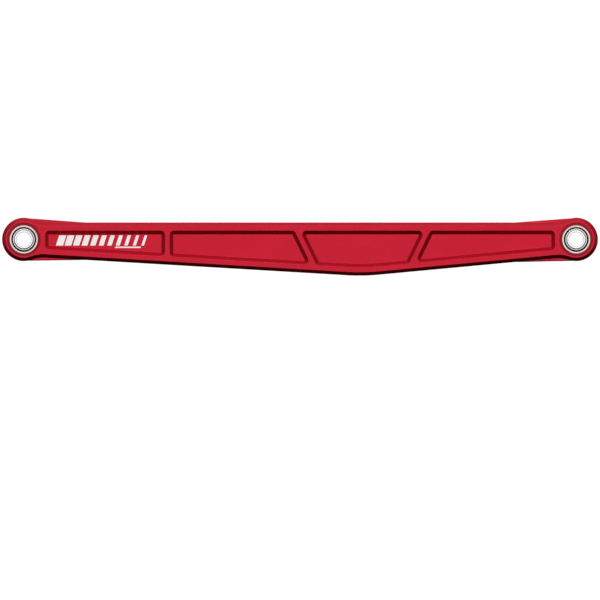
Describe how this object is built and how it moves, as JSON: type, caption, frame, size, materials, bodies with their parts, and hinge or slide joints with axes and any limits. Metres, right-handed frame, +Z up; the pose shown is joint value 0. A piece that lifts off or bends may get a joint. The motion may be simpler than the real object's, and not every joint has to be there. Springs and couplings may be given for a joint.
{
  "type": "suspension control arm",
  "caption": "Red anodised billet suspension control arm with pocketed sides, a deepened belly and a spherical bearing with bolt spacers in each end boss.",
  "frame": {"origin": "centre of the frame-end ball, on the frame-end bolt axis and half way through the arm's thickness", "axes": "+X along the arm to the axle-end bolt axis, +Y along the bolt axes towards the snap ring side, +Z up, away from the belly"},
  "size_m": [0.7946, 0.0508, 0.0774],
  "materials": {
    "red_anodised": "satin red anodised billet aluminium",
    "white_film": "matt white cut vinyl film",
    "race_steel": "turned stainless steel",
    "liner": "woven PTFE liner",
    "ball_chrome": "ground and polished hard steel",
    "spring_steel": "phosphated spring steel",
    "stainless": "fine turned stainless steel",
    "seal_rubber": "nitrile rubber"
  },
  "bodies": {
    "arm": {"arm_body": "red_anodised", "side_decal": "white_film", "frame_bearing_race": "race_steel", "frame_bearing_liner": "liner", "frame_snap_ring": "spring_steel", "axle_bearing_race": "race_steel", "axle_bearing_liner": "liner", "axle_snap_ring": "spring_steel"},
    "frame_ball": {"frame_ball": "ball_chrome"},
    "frame_spacers": {"frame_spacer_front": "stainless", "frame_spacer_rear": "stainless", "frame_o_ring_front": "seal_rubber", "frame_o_ring_rear": "seal_rubber"},
    "axle_ball": {"axle_ball": "ball_chrome"},
    "axle_spacers": {"axle_spacer_front": "stainless", "axle_spacer_rear": "stainless", "axle_o_ring_front": "seal_rubber", "axle_o_ring_rear": "seal_rubber"}
  },
  "joints": [
    {"name": "frame_ball_tilt", "type": "hinge", "parent": "arm", "child": "frame_ball", "pos_m": [0, 0, 0], "axis": [1, 0, 0], "range_deg": [-12, 12]},
    {"name": "frame_spacer_turn", "type": "hinge", "parent": "frame_ball", "child": "frame_spacers", "pos_m": [0, 0, 0], "axis": [0, 1, 0], "continuous": true},
    {"name": "axle_ball_tilt", "type": "hinge", "parent": "arm", "child": "axle_ball", "pos_m": [0.7366, 0, 0], "axis": [1, 0, 0], "range_deg": [-12, 12]},
    {"name": "axle_spacer_turn", "type": "hinge", "parent": "axle_ball", "child": "axle_spacers", "pos_m": [0.7366, 0, 0], "axis": [0, 1, 0], "continuous": true}
  ]
}
